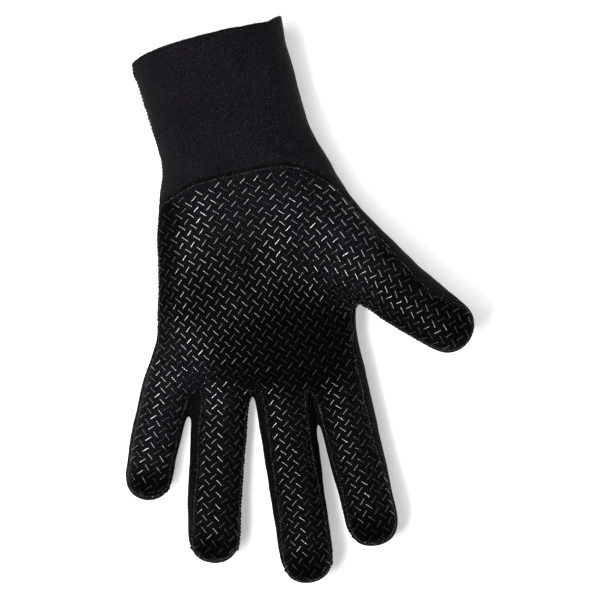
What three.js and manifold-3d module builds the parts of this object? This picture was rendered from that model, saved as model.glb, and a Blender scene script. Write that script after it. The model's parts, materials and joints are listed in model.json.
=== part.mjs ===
// A left-hand diving glove of 3 mm neoprene, lying on its back with the palm up.
// Millimetres, +Z up. The fingers point to -Y, the cuff to +Y and the thumb to +X.
// The group's origin is the middle of the glove's footprint on the surface it rests on.
//
// The glove is cut as the real one is: a gripping palm panel with five digit faces, a smooth back
// panel cut in one with the cuff, and three narrow side strips that line the gaps between the fingers.
// Every panel is a piece of one hollow shell, parted from its neighbours along the seams.
import * as THREE from 'three';
import { mergeVertices } from 'three/addons/utils/BufferGeometryUtils.js';
import Module from 'manifold-3d';

const wasm = await Module();
wasm.setup();

// Material and seams
const wall = 3;
const seamGap = 0.3;
const pressedFlat = 1.2;
// How far a seam's cutting space stands clear of the shell, to its sides and above it
const overhang = 1.2;
const reachUp = 66;

// Palm, wrist and cuff
const palmWidth = 93;
const palmLength = 113;
const palmStraight = 44;
const palmDepth = 33;
const palmHollow = 4.5;
const wristWidth = 71.5;
const wristDepth = 41;
const cuffWidth = 72.5;
const cuffDepth = 46;
const cuffLength = 50;
const cuffTilt = 16.3;
const rimBulge = 3.3;
const rimLean = 0.45;
const rimTip = 3;
const rimTipSpread = 0.32;
const rimTipFlare = 1.6;

// Digits: how far each one runs into the palm, and how deep the web between them is
const fingerInset = 24;
const webRound = 2.5;

// Side strips: how far they run up into the crotch and along the fingers, as a share of the shorter
// finger's length, how low their seam on the back lies, and how much of that is left at the tips
const stripInset = 7;
const stripEnd = 0.93;
const stripBackSeam = 0.5;
const stripTipShare = 0.35;

// Digits: lengths, widths, depths, and the heights of their middle lines at their roots
const pinkyLength = 55.5;
const pinkyWidth = 24.8;
const pinkyDepth = 22.5;
const pinkyHeight = 13;
const ringLength = 83.8;
const ringWidth = 27.4;
const ringDepth = 24;
const ringHeight = 13.2;
const middleLength = 93.8;
const middleWidth = 27.6;
const middleDepth = 24.5;
const middleHeight = 13.4;
const indexLength = 77.5;
const indexWidth = 27.4;
const indexDepth = 24;
const indexHeight = 13.2;
const thumbLength = 102;
const thumbWidth = 28.8;
const thumbDepth = 25;
const thumbHeight = 17.5;

// Facets of a section round the body and round a digit
const bodySides = 28;
const digitSides = 16;

// One row for each digit. Lengths run from the line of the finger crotches to the tip, and the
// thumb's from its root in the heel of the palm. rootX and rootY are shares of the palm's width and
// length. Tilts are degrees from straight down the hand towards the thumb, and lifts are degrees up
// from the surface. The last five columns say where the palm panel ends on each flank, near the
// root, far out and at the tip, as a share of the digit's rise above its middle.
const digits = [
  {
    name: 'pinky', rootX: -0.446, rootY: 0,
    length: pinkyLength, width: pinkyWidth, depth: pinkyDepth, rootHeight: pinkyHeight,
    rootTilt: -18, tipTilt: -4, rootLift: 0, tipLift: 24,
    leftRoot: 0.35, leftFar: 0.38, rightRoot: 0.5, rightFar: 0.38, seamTip: 0.15,
  },
  {
    name: 'ring', rootX: -0.178, rootY: 0,
    length: ringLength, width: ringWidth, depth: ringDepth, rootHeight: ringHeight,
    rootTilt: -6, tipTilt: 1, rootLift: 0, tipLift: 17,
    leftRoot: 0.81, leftFar: 0.68, rightRoot: 0.12, rightFar: 0.12, seamTip: 0.15,
  },
  {
    name: 'middle', rootX: 0.124, rootY: 0,
    length: middleLength, width: middleWidth, depth: middleDepth, rootHeight: middleHeight,
    rootTilt: 7.8, tipTilt: 9, rootLift: 0, tipLift: 14,
    leftRoot: 0.68, leftFar: 0.56, rightRoot: 0.66, rightFar: 0.38, seamTip: 0.15,
  },
  {
    name: 'index', rootX: 0.416, rootY: 0,
    length: indexLength, width: indexWidth, depth: indexDepth, rootHeight: indexHeight,
    rootTilt: 13.6, tipTilt: 13.4, rootLift: 0, tipLift: 15,
    leftRoot: 0.42, leftFar: 0.5, rightRoot: 0.69, rightFar: 0.25, seamTip: 0.15,
  },
];
const thumb = {
  name: 'thumb', rootX: 0.225, rootY: 0.745,
  length: thumbLength, width: thumbWidth, depth: thumbDepth, rootHeight: thumbHeight,
  rootTilt: 44.5, tipTilt: 58.5, rootLift: 15, tipLift: 5,
  leftRoot: 0.14, leftFar: 0.14, rightRoot: 0.14, rightFar: 0.14, seamTip: 0.2,
};

// A finger's width and depth as shares of its named sizes. along runs from 0 at the crotch line to
// 1 where the tip's dome starts.
const fingerSections = [
  { along: 0, width: 1, depth: 1 },
  { along: 0.2, width: 0.975, depth: 0.98 },
  { along: 0.45, width: 0.945, depth: 0.96 },
  { along: 0.75, width: 0.92, depth: 0.93 },
  { along: 1, width: 0.905, depth: 0.88 },
];
// The thumb, whose first rows are the ball of the thumb inside the heel of the palm. There its side
// towards the palm runs out in a long slope: spread is how much further that side reaches than the
// outer one, and slope is how straight it runs down, from a full oval at below 1 to straight at 2.
const thumbSections = [
  { along: -0.16, width: 1.8, depth: 1.14, spread: 1.2, slope: 1.3 },
  { along: 0, width: 1.58, depth: 1.26, spread: 1.5, slope: 1.5 },
  { along: 0.14, width: 1.4, depth: 1.36, spread: 1.75, slope: 1.6 },
  { along: 0.28, width: 1.31, depth: 1.32, spread: 1.7, slope: 1.6 },
  { along: 0.42, width: 1.235, depth: 1.19, spread: 1.4, slope: 1.4 },
  { along: 0.56, width: 1.155, depth: 1.09, spread: 1.02, slope: 1.1 },
  { along: 0.7, width: 1.07, depth: 1.01, spread: 1, slope: 0.92 },
  { along: 0.86, width: 0.98, depth: 0.93, spread: 1, slope: 0.92 },
  { along: 1, width: 0.9, depth: 0.86, spread: 1, slope: 0.92 },
];
const digitSquare = 0.92;
// The dome of a tip, by the angle turned, with its bluntness as a power of the cosine.
const domeAngles = [24, 46, 64, 78, 87];
const domeBlunt = 0.86;
// How far out from the middle the palm's hollow reaches, as a share of its half width
const hollowReach = 0.45;
// The width of the web between the fingers, as a share of the palm's
const webWidth = 0.8;
// Where the fingers are thickest inside the palm, as a share of their depth at the crotch
const insetDepth = 0.8;

// The palm from the wrist to the crotches. along is a share of the palm's length from the crotches,
// toWrist mixes from the palm's sizes to the wrist's, and hollow is a share of the palm's hollow.
const palmSections = [
  { along: 0.93, toWrist: 0.8, width: 1, rise: 0.98, drop: 1, hollow: 0, square: 0.86 },
  { along: 0.85, toWrist: 0.5, width: 1.01, rise: 1, drop: 1, hollow: 0.1, square: 0.82 },
  { along: 0.76, toWrist: 0.26, width: 1, rise: 1.04, drop: 1, hollow: 0.35, square: 0.78 },
  { along: 0.66, toWrist: 0.06, width: 1, rise: 1.05, drop: 1, hollow: 0.7, square: 0.76 },
  { along: 0.54, toWrist: 0, width: 0.995, rise: 1.01, drop: 1, hollow: 1, square: 0.75 },
  { along: 0.41, toWrist: 0, width: 1, rise: 0.98, drop: 1, hollow: 0.95, square: 0.75 },
  { along: 0.29, toWrist: 0, width: 1.005, rise: 0.97, drop: 1, hollow: 0.6, square: 0.75 },
  { along: 0.19, toWrist: 0, width: 1.01, rise: 0.94, drop: 0.99, hollow: 0.3, square: 0.76 },
  { along: 0.11, toWrist: 0, width: 1, rise: 0.86, drop: 0.93, hollow: 0.1, square: 0.78 },
  { along: 0.045, toWrist: 0, width: 0.98, rise: 0.73, drop: 0.8, hollow: 0, square: 0.82 },
  { along: 0, toWrist: 0, width: 0.93, rise: 0.52, drop: 0.62, hollow: 0, square: 0.88 },
];
// The seam across the wrist, left to right, as shares of the palm's width and length.
const wristSeam = [
  { x: -0.62, y: 0.7 },
  { x: -0.475, y: 0.762 },
  { x: -0.33, y: 0.835 },
  { x: -0.14, y: 0.877 },
  { x: 0.045, y: 0.91 },
  { x: 0.2, y: 0.912 },
  { x: 0.345, y: 0.858 },
  { x: 0.452, y: 0.785 },
  { x: 0.53, y: 0.705 },
];
// The seam down the thumb's outer side, as shares of its half width out from its middle line.
const thumbSeam = [
  { along: 0.4, out: 0.8 },
  { along: 0.52, out: 0.74 },
  { along: 0.63, out: 0.67 },
  { along: 0.73, out: 0.62 },
  { along: 0.8, out: 0.7 },
  { along: 0.87, out: 0.86 },
  { along: 0.97, out: 0.95 },
  { along: 1.12, out: 1.1 },
];

// Where the space above the palm's edges is measured, as shares of the palm's length
const palmEdgeStations = [1.1, 0.85, 0.6, 0.3, 0.02];

const radians = THREE.MathUtils.degToRad;
const mix = THREE.MathUtils.lerp;

// Skins rings of equal point counts into a closed geometry. The rings run round the way of travel.
function skin(rings) {
  const sides = rings[0].length;
  const points = rings.flat();
  const middle = (ring) => ring.reduce((sum, p) => sum.add(p), new THREE.Vector3()).divideScalar(sides);
  const first = points.push(middle(rings[0])) - 1;
  const last = points.push(middle(rings.at(-1))) - 1;
  const faces = [];
  for (let i = 0; i < sides; i += 1) {
    const next = (i + 1) % sides;
    faces.push(first, next, i);
    for (let k = 0; k < rings.length - 1; k += 1) {
      const [a, b] = [k * sides + i, k * sides + next];
      const [c, d] = [b + sides, a + sides];
      faces.push(a, b, c, a, c, d);
    }
    const end = (rings.length - 1) * sides;
    faces.push(last, end + i, end + next);
  }
  const geometry = new THREE.BufferGeometry().setFromPoints(points);
  geometry.setIndex(faces);
  return geometry;
}

// A geometry as a solid that can be joined and cut, and back again.
function solid(geometry) {
  const bare = new THREE.BufferGeometry();
  bare.setAttribute('position', geometry.getAttribute('position'));
  bare.setIndex(geometry.getIndex());
  const merged = mergeVertices(bare, 1e-4);
  return new wasm.Manifold(new wasm.Mesh({
    numProp: 3,
    vertProperties: new Float32Array(merged.getAttribute('position').array),
    triVerts: new Uint32Array(merged.getIndex().array),
  }));
}

function geometryOf(shape) {
  const mesh = shape.getMesh();
  const geometry = new THREE.BufferGeometry();
  geometry.setAttribute('position', new THREE.BufferAttribute(mesh.vertProperties, 3));
  geometry.setIndex(new THREE.BufferAttribute(mesh.triVerts, 1));
  geometry.computeVertexNormals();
  return geometry;
}

const join = (shapes) => shapes.reduce((sum, shape) => sum.add(shape));
const bigger = (one, other) => (other.volume() > one.volume() ? other : one);
const largest = (shape) => shape.decompose().reduce(bigger);

// A soft oval ring: square below 1 fills its corners, hollow dents its upper side in the middle,
// spread and slope shape its left side, and what would sink below the surface is pressed flat on it.
function oval(section, sides, floor) {
  const { centre, across, up, halfWidth, rise, drop, square } = section;
  const { hollow = 0, spread = 1, slope = square } = section;
  const ring = [];
  for (let i = 0; i < sides; i += 1) {
    const angle = (2 * Math.PI * i) / sides;
    const [c, s] = [Math.cos(angle), Math.sin(angle)];
    const [reach, power] = c < 0 ? [halfWidth * spread, slope] : [halfWidth, square];
    const x = reach * Math.sign(c) * Math.abs(c) ** power;
    const y = (s > 0 ? rise : drop) * Math.sign(s) * Math.abs(s) ** power;
    const dent = s > 0 ? hollow * s * Math.exp(-((x / (hollowReach * halfWidth)) ** 2)) : 0;
    const point = centre.clone().addScaledVector(across, x).addScaledVector(up, y - dent);
    point.z = Math.max(point.z, floor);
    ring.push(point);
  }
  return ring;
}

// The hand's middle line: straight below the palm's middle, then bending over to the cuff's tilt.
function bodyFrame(distance) {
  const bend = palmLength - palmStraight;
  const past = THREE.MathUtils.clamp((distance - palmStraight) / bend, 0, 1);
  const slope = Math.tan(radians(cuffTilt)) * past;
  const turn = Math.atan(slope);
  const centre = new THREE.Vector3((-slope * past * bend) / 2, Math.min(distance, palmLength), 0);
  const towardsCuff = new THREE.Vector3(-Math.sin(turn), Math.cos(turn), 0);
  centre.addScaledVector(towardsCuff, Math.max(distance - palmLength, 0));
  const across = new THREE.Vector3(Math.cos(turn), Math.sin(turn), 0);
  return { centre, across, up: new THREE.Vector3(0, 0, 1) };
}

function bodySection(distance, width, depth, shape, inset) {
  const frame = bodyFrame(distance);
  frame.centre.z = depth / 2 - pressedFlat;
  return {
    ...frame,
    halfWidth: width / 2 - inset,
    rise: (depth / 2) * shape.rise - inset,
    drop: (depth / 2) * (shape.drop ?? 1) - inset,
    square: shape.square,
    hollow: palmHollow * (shape.hollow ?? 0),
  };
}

// The cuff and palm as one soft body. inset is 0 for the outside and the wall for the inside, whose
// cuff end runs on past the rim so that it opens.
function body(inset) {
  const cuffShape = { rise: 1, square: 0.9 };
  const overrun = inset > 0 ? 4 * wall : 0;
  const rings = [];
  const cuffAlong = [1, 0.8, 0.6, 0.4, 0.2, 0];
  cuffAlong.forEach((along) => {
    const width = mix(wristWidth, cuffWidth, along);
    const depth = mix(wristDepth, cuffDepth, along);
    const ends = along === 1 ? overrun : 0;
    const section = bodySection(palmLength + cuffLength * along + ends, width, depth, cuffShape, inset);
    rings.push(oval(section, bodySides, inset));
  });
  palmSections.forEach((row) => {
    const width = mix(palmWidth, wristWidth, row.toWrist) * row.width;
    const depth = mix(palmDepth, wristDepth, row.toWrist);
    rings.push(oval(bodySection(palmLength * row.along, width, depth, row, inset), bodySides, inset));
  });
  // The web closes the body between the fingers.
  const webShape = { rise: 0.3, drop: 0.4, square: 0.95 };
  const web = bodySection(-webRound + inset, palmWidth * webWidth, palmDepth, webShape, inset);
  rings.push(oval(web, bodySides, inset));
  if (inset === 0) shapeRim(rings[0]);
  return skin(rings);
}

// The rim stands a little further out over the palm side, more so towards the little finger, and
// flares up in a small tip at the fold on the thumb's side.
function shapeRim(ring) {
  const { across, centre } = bodyFrame(palmLength + cuffLength);
  const towardsCuff = new THREE.Vector3(-across.y, across.x, 0);
  ring.forEach((point, i) => {
    const angle = (2 * Math.PI * i) / ring.length;
    const fromFold = Math.atan2(Math.sin(angle), Math.cos(angle));
    const tip = Math.exp(-((fromFold / rimTipSpread) ** 2));
    const bulge = Math.max(Math.sin(angle), 0) * rimBulge * (1 - rimLean * Math.cos(angle));
    const out = Math.sign(point.clone().sub(centre).dot(across));
    point.addScaledVector(towardsCuff, bulge + rimTip * tip).addScaledVector(across, out * rimTipFlare * tip);
  });
}

// A digit's middle line, walked in short steps because its tilt and lift both change along it.
function digitPath(digit, back) {
  const steps = 60;
  const total = digit.length + back;
  const place = new THREE.Vector3(digit.rootX * palmWidth, digit.rootY * palmLength, digit.rootHeight);
  const aim = (along) => {
    const share = Math.max(along, 0);
    const tilt = radians(mix(digit.rootTilt, digit.tipTilt, share));
    const lift = radians(mix(digit.rootLift, digit.tipLift, share));
    const level = Math.cos(lift);
    return new THREE.Vector3(Math.sin(tilt) * level, -Math.cos(tilt) * level, Math.sin(lift));
  };
  place.addScaledVector(aim(0), -back);
  const walked = [place.clone()];
  for (let i = 0; i < steps; i += 1) {
    const along = ((i + 0.5) / steps) * total - back;
    place.addScaledVector(aim(along / digit.length), total / steps);
    walked.push(place.clone());
  }
  return (distance) => {
    const at = THREE.MathUtils.clamp(((distance + back) / total) * steps, 0, steps);
    const step = Math.min(Math.floor(at), steps - 1);
    const heading = aim(distance / digit.length);
    const centre = walked[step].clone().lerp(walked[step + 1], at - step);
    centre.addScaledVector(heading, Math.max(distance - digit.length, 0) + Math.min(distance + back, 0));
    const across = new THREE.Vector3(-heading.y, heading.x, 0).normalize();
    return { centre, across, up: new THREE.Vector3().crossVectors(heading, across).normalize() };
  };
}

const isThumb = (digit) => digit === thumb;
const tableOf = (digit) => (isThumb(digit) ? thumbSections : fingerSections);
const backOf = (digit) => (isThumb(digit) ? 0.16 * thumb.length : fingerInset);
const paths = new Map([...digits, thumb].map((digit) => [digit, digitPath(digit, backOf(digit))]));

// The digit's stations from its hidden start to its tip: distance, width and depth.
function stations(digit, inset) {
  const table = tableOf(digit);
  const end = table.at(-1);
  const dome = (digit.width * end.width) / 2;
  const straight = digit.length - dome;
  const rows = table.map((row) => ({
    ...row,
    distance: row.along * straight,
    width: digit.width * row.width,
    depth: digit.depth * row.depth,
  }));
  if (!isThumb(digit)) {
    rows.unshift({ ...rows[0], distance: -fingerInset, depth: rows[0].depth * insetDepth });
  }
  domeAngles.map(radians).forEach((turned) => {
    rows.push({
      distance: straight + (dome - inset) * Math.sin(turned),
      width: digit.width * end.width * Math.cos(turned) ** domeBlunt,
      depth: digit.depth * end.depth * Math.cos(turned) ** domeBlunt,
      shrunk: Math.cos(turned) ** domeBlunt,
    });
  });
  return rows;
}

function digitSection(digit, row, inset) {
  const frame = paths.get(digit)(row.distance);
  const shrink = inset * (row.shrunk ?? 1);
  return {
    ...frame,
    halfWidth: row.width / 2 - shrink,
    rise: row.depth / 2 - shrink,
    drop: row.depth / 2 - shrink,
    square: digitSquare,
    spread: row.spread,
    slope: row.slope,
  };
}

function digitBody(digit, inset) {
  return skin(stations(digit, inset).map((row) => oval(digitSection(digit, row, inset), digitSides, inset)));
}

// The hollow shell that all panels are cut from
const everyDigit = [...digits, thumb];
const outside = join([body(0), ...everyDigit.map((digit) => digitBody(digit, 0))].map(solid));
const inside = join([body(wall), ...everyDigit.map((digit) => digitBody(digit, wall))].map(solid));
const shell = outside.subtract(inside);

// A slab is the space on one side of a seam: low and high are heights at the left and right edges.
function slabRing({ centre, across, up }, left, right, low, high) {
  const corner = (x, y) => centre.clone().addScaledVector(across, x).addScaledVector(up, y);
  return [corner(right, low[1]), corner(right, high), corner(left, high), corner(left, low[0])];
}

// The heights of the palm seam on a digit's left and right flanks.
function seamShares(digit, along) {
  const far = THREE.MathUtils.smoothstep(along, 0.3, 0.75);
  const tip = THREE.MathUtils.smoothstep(along, 0.8, 0.98);
  return [[digit.leftRoot, digit.leftFar], [digit.rightRoot, digit.rightFar]].map(
    ([root, end]) => mix(mix(root, end, far), digit.seamTip, tip),
  );
}

// The space above a digit's palm seam. grow widens it all round to leave the seam's gap.
function palmSlab(digit, grow) {
  const rows = stations(digit, 0).filter((row) => (row.shrunk ?? 1) > 0.3);
  const rings = rows.map((row) => {
    const section = digitSection(digit, row, 0);
    const low = seamShares(digit, row.distance / digit.length).map((share) => share * section.rise - grow);
    const half = section.halfWidth + overhang;
    return slabRing(section, -half * (section.spread ?? 1), half, low, reachUp);
  });
  const { across, up } = paths.get(digit)(digit.length);
  const forward = new THREE.Vector3().crossVectors(across, up);
  rings.push(rings.at(-1).map((point) => point.clone().addScaledVector(forward, 2 * wall)));
  return solid(skin(rings));
}

// The heights of the palm's own two edges, which start level with the outer fingers' seams.
const edgeHeight = (digit, share) => digit.rootHeight + (digit.depth / 2) * share;
const leftEdgeHeight = edgeHeight(digits[0], digits[0].leftRoot);
const rightEdgeHeight = edgeHeight(digits.at(-1), digits.at(-1).rightRoot);

// The space above the palm's edges, from past the wrist to just short of the crotches.
function bodySlab(grow) {
  const rings = palmEdgeStations.map((along) => {
    const end = along === palmEdgeStations.at(-1) ? grow : 0;
    const frame = bodyFrame(palmLength * along - end);
    const half = palmWidth / 2 + 2 * overhang;
    return slabRing(frame, -half, half, [leftEdgeHeight - grow, rightEdgeHeight - grow], reachUp);
  });
  return solid(skin(rings));
}

// The palm panel's outline from above, which ends it at the wrist and along the thumb's outer side.
function palmOutline(grow) {
  const curve = wristSeam.map((row) => new THREE.Vector2(row.x * palmWidth, row.y * palmLength));
  thumbSeam.forEach((row) => {
    const { centre, across } = paths.get(thumb)(row.along * thumb.length);
    const along = Math.min(row.along, 1);
    const next = thumbSections.findIndex((section) => section.along >= along);
    const [low, high] = [thumbSections[next - 1], thumbSections[next]];
    const width = mix(low.width, high.width, (along - low.along) / (high.along - low.along));
    const out = (thumb.width / 2) * width * row.out;
    curve.push(new THREE.Vector2(centre.x + across.x * out, centre.y + across.y * out));
  });
  const smooth = new THREE.SplineCurve(curve).getPoints(48);
  const edge = smooth.map((point, i) => {
    const [before, after] = [smooth[Math.max(i - 1, 0)], smooth[Math.min(i + 1, smooth.length - 1)]];
    const run = after.clone().sub(before).normalize();
    return point.clone().add(new THREE.Vector2(-run.y, run.x).multiplyScalar(grow));
  });
  const far = 2 * (palmLength + thumb.length);
  const outline = [...edge, new THREE.Vector2(far, edge.at(-1).y), new THREE.Vector2(far, -far)];
  outline.push(new THREE.Vector2(-far, -far), new THREE.Vector2(-far, edge[0].y));
  const shape = new THREE.Shape(outline);
  const prism = new THREE.ExtrudeGeometry(shape, { depth: 2 * reachUp, bevelEnabled: false });
  prism.translate(0, 0, -reachUp / 2);
  return solid(mergeVertices(stripped(prism)));
}

function stripped(geometry) {
  geometry.deleteAttribute('normal');
  geometry.deleteAttribute('uv');
  return geometry;
}

const palmSpace = (grow) => join([bodySlab(grow), ...everyDigit.map((digit) => palmSlab(digit, grow))])
  .intersect(palmOutline(grow));

// The side strips: between each two fingers, from the palm seam down to a seam on the back.
function stripHalf(digit, side, reach, grow) {
  const rows = stations(digit, 0).filter((row) => row.distance > 0 && row.distance < digit.length * stripEnd);
  const root = { ...rows[0], distance: -stripInset - grow };
  const crotch = { ...rows[0], distance: 0 };
  const tip = { ...rows.at(-1), distance: digit.length * stripEnd + grow };
  const rings = [root, crotch, ...rows, tip].map((row) => {
    const section = digitSection(digit, row, 0);
    const near = THREE.MathUtils.smoothstep(row.distance, 0, stripInset * 2);
    const out = Math.max(mix(reach, section.halfWidth + overhang, near), section.halfWidth + overhang);
    const far = THREE.MathUtils.smoothstep(row.distance / digit.length, 0.5, stripEnd);
    const narrow = mix(1, stripTipShare, far);
    const low = -section.drop * stripBackSeam * narrow - grow;
    const [left, right] = side > 0 ? [0, out] : [-out, 0];
    return slabRing(section, left, right, [low, low], section.rise);
  });
  return solid(skin(rings));
}

function stripSpace(left, right, grow) {
  const spacing = (right.rootX - left.rootX) * palmWidth;
  const reach = spacing / 2 + overhang;
  return stripHalf(left, 1, reach, grow).add(stripHalf(right, -1, reach, grow));
}

// The slit of the cuff's side seam, on the little finger's side. It rises from the palm's edge at
// the wrist to the middle of the cuff's side.
function cuffSlit() {
  const middleOfSide = cuffDepth / 2 - pressedFlat;
  const runs = [
    [palmLength + cuffLength + 2 * rimTip, middleOfSide],
    [palmLength + cuffLength / 2, middleOfSide],
    [palmLength * wristSeam[1].y, leftEdgeHeight],
  ];
  const rings = runs.map(([distance, height]) => (
    slabRing(bodyFrame(distance), -palmWidth, -wristWidth / 4, [height, height], height + seamGap)
  ));
  return solid(skin(rings));
}

const palmPanel = largest(shell.intersect(palmSpace(0)));
const notPalm = shell.subtract(palmSpace(seamGap));
const pairs = digits.slice(1).map((digit, i) => [digits[i], digit]);
const strips = pairs.map(([left, right]) => largest(notPalm.intersect(stripSpace(left, right, 0))));
const notStrips = pairs.reduce(
  (rest, [left, right]) => rest.subtract(stripSpace(left, right, seamGap)),
  notPalm,
);
const backPanel = largest(notStrips.subtract(cuffSlit()));

const gripCloth = new THREE.MeshStandardMaterial({ color: 0x17171a, roughness: 0.62 });
const smoothCloth = new THREE.MeshStandardMaterial({ color: 0x1b191d, roughness: 0.85 });

const glove = new THREE.Group();
function addPanel(name, shape, material) {
  const mesh = new THREE.Mesh(geometryOf(shape), material);
  mesh.name = name;
  glove.add(mesh);
}
addPanel('palm_panel', palmPanel, gripCloth);
addPanel('back_panel_with_cuff', backPanel, smoothCloth);
pairs.forEach(([left, right], i) => {
  addPanel(`side_strip_${left.name}_${right.name}`, strips[i], smoothCloth);
});

// The origin goes to the middle of the footprint.
const extent = new THREE.Box3().setFromObject(glove);
const middle = extent.getCenter(new THREE.Vector3());
glove.position.set(-middle.x, -middle.y, -extent.min.z);

export default glove;
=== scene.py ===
import json
import math
import random

import bmesh
import bpy
import numpy as np
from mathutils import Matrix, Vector, noise
from mathutils.bvhtree import BVHTree
from mathutils.kdtree import KDTree


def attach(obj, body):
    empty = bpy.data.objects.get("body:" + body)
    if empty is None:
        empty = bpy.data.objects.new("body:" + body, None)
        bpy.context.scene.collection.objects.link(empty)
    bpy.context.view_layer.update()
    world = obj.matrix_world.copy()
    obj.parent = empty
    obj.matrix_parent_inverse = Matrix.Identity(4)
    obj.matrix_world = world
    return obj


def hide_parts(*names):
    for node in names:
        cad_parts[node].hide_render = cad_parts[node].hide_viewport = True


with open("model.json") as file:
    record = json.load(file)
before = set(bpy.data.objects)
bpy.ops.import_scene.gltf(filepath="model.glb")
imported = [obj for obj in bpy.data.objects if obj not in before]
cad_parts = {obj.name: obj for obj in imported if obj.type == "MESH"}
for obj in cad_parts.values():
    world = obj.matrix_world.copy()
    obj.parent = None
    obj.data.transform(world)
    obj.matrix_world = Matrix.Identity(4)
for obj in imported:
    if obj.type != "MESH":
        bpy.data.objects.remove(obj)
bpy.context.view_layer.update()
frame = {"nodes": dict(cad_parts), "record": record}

bl_info = {
    "name": "Diving glove",
    "version": (1, 0, 0),
    "blender": (4, 5, 0),
    "location": "View3D > Sidebar > Glove",
    "description": "Builds a neoprene diving glove with a gripping palm over its model",
    "category": "Mesh",
}

MM = 0.001
BODY = "root"

PALM = "palm_panel"
BACK = "back_panel_with_cuff"
STRIPS = ["side_strip_pinky_ring", "side_strip_ring_middle", "side_strip_middle_index"]
PANELS = [PALM, BACK, *STRIPS]
SLOTS = {PALM: "grip_palm", BACK: "smooth_neoprene", **{strip: "smooth_neoprene" for strip in STRIPS}}

MOUTH = next(mount for mount in frame["record"]["mounts"] if mount["name"] == "wrist_opening")
MOUTH_CENTRE = np.array(MOUTH["pos_m"])
MOUTH_AXIS = np.array(MOUTH["axis"])

# How the printed cloth lies on the glove. At each place, seen from above in millimetres, the rows of
# dashes are turned by so many degrees from the X axis, and a cell of the pattern is so many
# millimetres across and along the hand. Between the places it changes smoothly.
CLOTH = [
    # x, y, turn, across, along
    (-44, 44, 11, 6.15, 5.0),
    (-20, 46, 12, 6.3, 5.0),
    (2, 43, 8, 6.1, 5.1),
    (17, 37, -7, 5.6, 5.6),
    (-52, 22, 11, 5.6, 5.2),
    (-28, 22, 12, 5.5, 5.5),
    (-4, 22, 9, 5.3, 5.8),
    (12, 23, -4, 5.2, 5.9),
    (27, 17, -21, 4.9, 5.7),
    (42, 6, -27, 5.1, 5.4),
    (57, -3, -21, 5.3, 5.4),
    (69, -13, -13, 5.5, 5.4),
    (-54, -2, 7, 5.4, 5.4),
    (-30, -2, 9, 5.2, 5.5),
    (-6, -2, 9, 5.0, 5.7),
    (18, -6, 14, 5.2, 5.6),
    (-59, -24, -3, 5.6, 5.3),
    (-33, -24, 3, 5.1, 5.4),
    (-7, -24, 9, 5.2, 5.5),
    (17, -24, 16, 5.4, 5.5),
    (-70, -65, -14, 5.7, 5.3),
    (-74, -85, -12, 5.7, 5.3),
    (-40, -65, -4, 5.6, 5.3),
    (-41, -110, -4, 5.6, 5.3),
    (-5, -65, 7, 5.6, 5.3),
    (3, -120, 6, 5.5, 5.3),
    (22, -65, 12, 5.6, 5.4),
    (33, -100, 12, 5.6, 5.4),
]
# Where the print is dull, and where the fabric between its dashes is painted darker as shade,
# seen from above in millimetres: the middle of each place, how far it reaches, and the share of
# the gloss that is left there. Away from them that fabric is painted lighter as sheen. They are
# the hollow of the hand, the tips, the thumb and its seam, the fingers, and the palm's outer side
# and edge.
DULL_AND_SHADED = [
    # x, y, reach, left
    (3, -22, 38, 0.06),
    (-25, -28, 24, 0.4),
    (-25, -2, 44, 0.58),
    (-71.5, -95, 20, 0.03),
    (-42, -123.5, 20, 0.03),
    (3.5, -133, 20, 0.03),
    (34, -115, 20, 0.03),
    (81, -14, 18, 0.3),
    (58, -2, 34, 0.5),
    (44, 24, 12, 0.35),
    (56, 12, 12, 0.35),
    (68, 1, 12, 0.35),
    (0, -100, 90, 0.54),
    (-52, 0, 20, 0.65),
    (-69, 38, 19, 0.12),
    (-71, 20, 19, 0.12),
    (-73, 2, 19, 0.12),
    (-76, -16, 19, 0.12),
]
# Where the neoprene lies softer than the model, round the ball of the thumb: middle and reach.
SOFT = [(-3, 26, 15), (6, 17, 16), (15, 7, 17), (25, -4, 15)]
# A "\" dash of the upper palm that the pattern is counted from
FIRST_DASH = (-40.2, 45.1)

# The lamps: their places and sides in metres, and their power as shares of the key's
LAMPS = [
    # name, place, sides, share
    ("key", (-0.50, 0.08, 1.2), (1.0, 0.65), 1),
    ("heel", (-0.15, -0.175, 0.5), (0.16, 0.08), 0.15),
    ("fill", (1.15, -0.45, 0.5), (0.9, 0.9), 0.28),
    ("top", (0.20, 1.20, 0.55), (0.9, 0.9), 0.28),
]

# The pitch of the fabrics' lines, and of the finer ones
TWILL = 0.95 * MM
FINE_TWILL = 0.8 * MM

# The cuff's rim: how squarely its normals face out of the mouth, and how deep it may lie
RIM_FACING = 0.4
RIM_DEPTH = 4 * MM
# Relaxing: how far a point moves to its neighbours' mean, the distances from the mouth between
# which that grows, the last rounds, and the share of the swelling that is taken back
RELAX_SHARE = 0.6
RELAX_REACH = (4 * MM, 16 * MM)
LAST_ROUNDS = 3
SWELLING_BACK = 0.8

# A seam: its fewest points, the rounds that ease it and the cuff's side seam, its samples' step
FEWEST_POINTS = 14
EASING_ROUNDS = 36
CUFF_EASING_ROUNDS = 6
SEAM_STEP = 0.35 * MM
# Where the neoprene stands up beside a seam and over what width, as shares of the seam's reach
PUFF_PLACE = 2.6
PUFF_WIDTH = 1.3
# The cuff's side seam: the steps along it, and how far from a step its points are looked for
SIDE_STEP = 2 * MM
SIDE_ALONG = 1.4 * MM
SIDE_UP = 1.6 * MM

# The cloth: how evenly its table's places share, in square millimetres, the rounds that lay it
# flat, and how far outside it a dash may find it
CLOTH_EVENNESS = 30
LAYING_ROUNDS = 500
CLOTH_REACH = 0.3 * MM

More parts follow.
